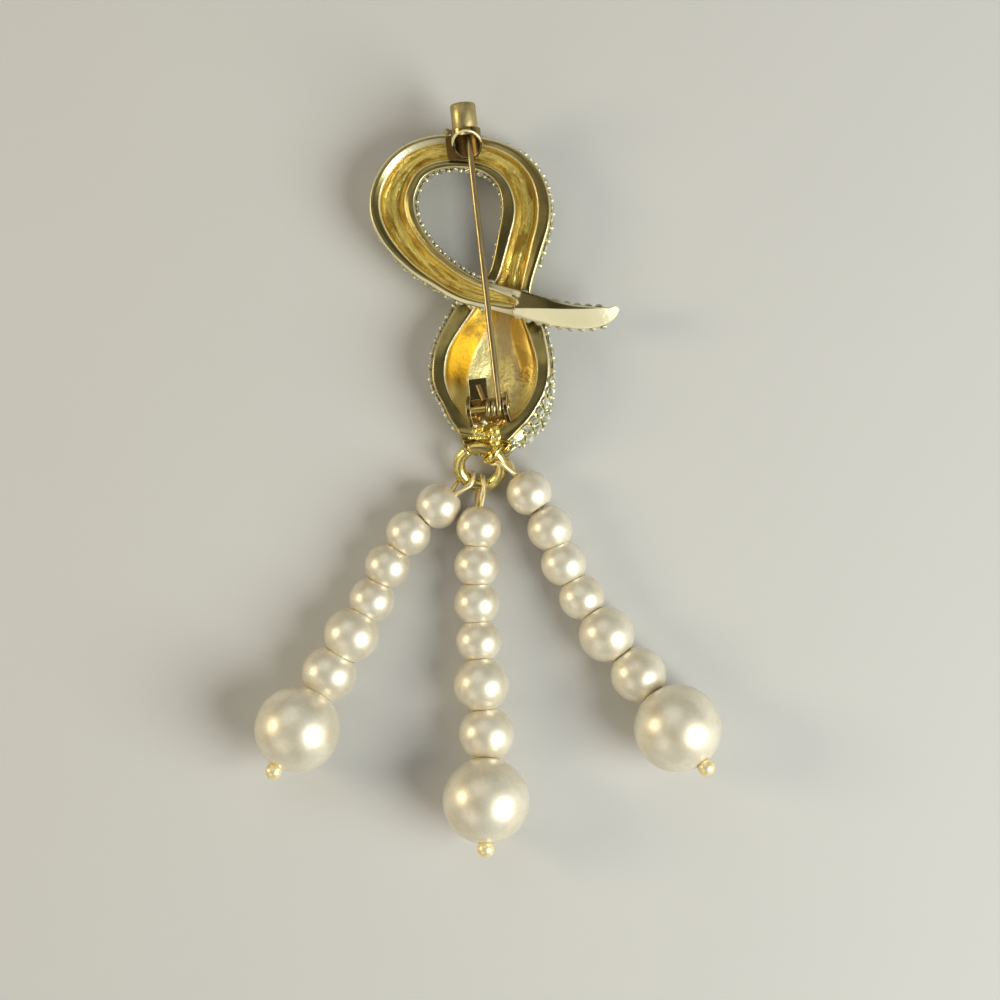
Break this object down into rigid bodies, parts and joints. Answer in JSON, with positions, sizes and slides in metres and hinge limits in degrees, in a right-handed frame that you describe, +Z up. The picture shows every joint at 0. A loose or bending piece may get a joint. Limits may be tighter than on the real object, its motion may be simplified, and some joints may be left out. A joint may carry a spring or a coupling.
{
  "type": "snake brooch with pearl strands",
  "caption": "Gilt snake brooch with a looped, stone-set body, hollow back, hinged pin, sliding tube catch, and pearl strands hung from a ring at the mouth.",
  "frame": {"origin": "on the surface that the brooch lies on, under the middle of its box", "axes": "+Z up from the surface, out of the snake's open back; +Y from the pearls to the catch; +X to the right of the picture"},
  "size_m": [0.0514, 0.0824, 0.0095],
  "materials": {
    "casting": "gilt cast metal, bright on the edges and ridges, browned in the hollows",
    "finding": "gilt sheet, polished, with a dark reflection",
    "pin_metal": "gilt wire and tube, polished",
    "thread": "metallic gold thread",
    "stone": "clear cut glass on foil",
    "pearl": "pearl lacquer, glossy, faintly pitted"
  },
  "bodies": {
    "brooch": {"snake_body": "casting", "stones": "stone", "jump_ring": "casting", "hinge_bracket": "finding", "hinge_rivet": "pin_metal", "catch_barrel": "finding", "thread_left": "thread", "thread_middle": "thread", "thread_right": "thread", "pearl_left_1": "pearl", "pearl_left_2": "pearl", "pearl_left_3": "pearl", "pearl_left_4": "pearl", "pearl_left_5": "pearl", "pearl_left_6": "pearl", "pearl_left_7": "pearl", "pearl_middle_1": "pearl", "pearl_middle_2": "pearl", "pearl_middle_3": "pearl", "pearl_middle_4": "pearl", "pearl_middle_5": "pearl", "pearl_middle_6": "pearl", "pearl_middle_7": "pearl", "pearl_right_1": "pearl", "pearl_right_2": "pearl", "pearl_right_3": "pearl", "pearl_right_4": "pearl", "pearl_right_5": "pearl", "pearl_right_6": "pearl", "pearl_right_7": "pearl"},
    "pin": {"pin_stem": "pin_metal"},
    "slider": {"catch_slider": "pin_metal"}
  },
  "joints": [
    {"name": "pin_hinge", "type": "hinge", "parent": "brooch", "child": "pin", "pos_m": [0.00032, 0.00774, 0.0061], "axis": [0.9935, 0.1141, 0], "range_deg": [0, 75]},
    {"name": "catch_slide", "type": "slide", "parent": "brooch", "child": "slider", "axis": [0.1141, -0.9935, 0], "range_m": [0, 0.0022]}
  ]
}
